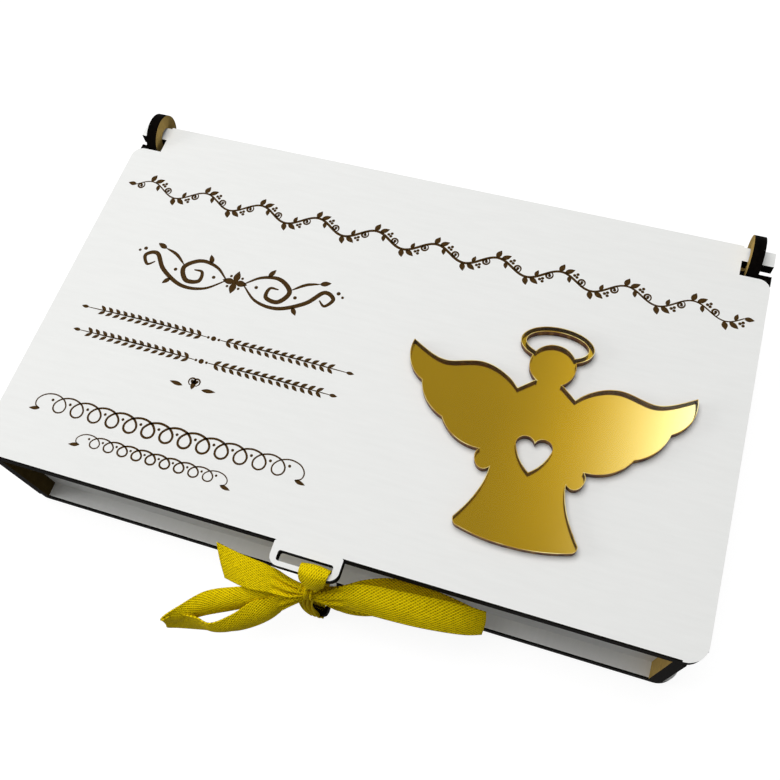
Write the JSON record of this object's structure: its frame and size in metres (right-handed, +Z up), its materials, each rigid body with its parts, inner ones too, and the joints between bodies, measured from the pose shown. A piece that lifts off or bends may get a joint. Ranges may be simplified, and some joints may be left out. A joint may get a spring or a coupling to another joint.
{
  "type": "money gift box",
  "caption": "Shallow hinged gift box of laser-cut board for banknotes or a card, with a mirror angel plaque on the lid and a ribbon bow at the front.",
  "frame": {"origin": "centre of the bottom plate's underside", "axes": "+Z up, +X along the front edge to the right as seen from the front, +Y from the bow at the front to the hinge at the back"},
  "size_m": [0.181, 0.1361, 0.0388],
  "materials": {
    "board": "white laminated board, raw brown inside, charred cut edges",
    "mirror_acrylic": "gold mirror acrylic",
    "tape": "double-sided tape",
    "ribbon": "woven yellow-gold satin ribbon"
  },
  "bodies": {
    "base": {"bottom_plate": "board", "front_wall": "board", "back_wall": "board", "left_side_wall": "board", "right_side_wall": "board", "ribbon_base_loop": "ribbon"},
    "lid": {"lid_panel": "board", "tape_pads": "tape", "angel_plaque": "mirror_acrylic", "ribbon_bow": "ribbon"}
  },
  "joints": [
    {"name": "lid_hinge", "type": "hinge", "parent": "base", "child": "lid", "pos_m": [0, 0.0514, 0.0326], "axis": [-1, 0, 0], "range_deg": [0, 195]}
  ]
}
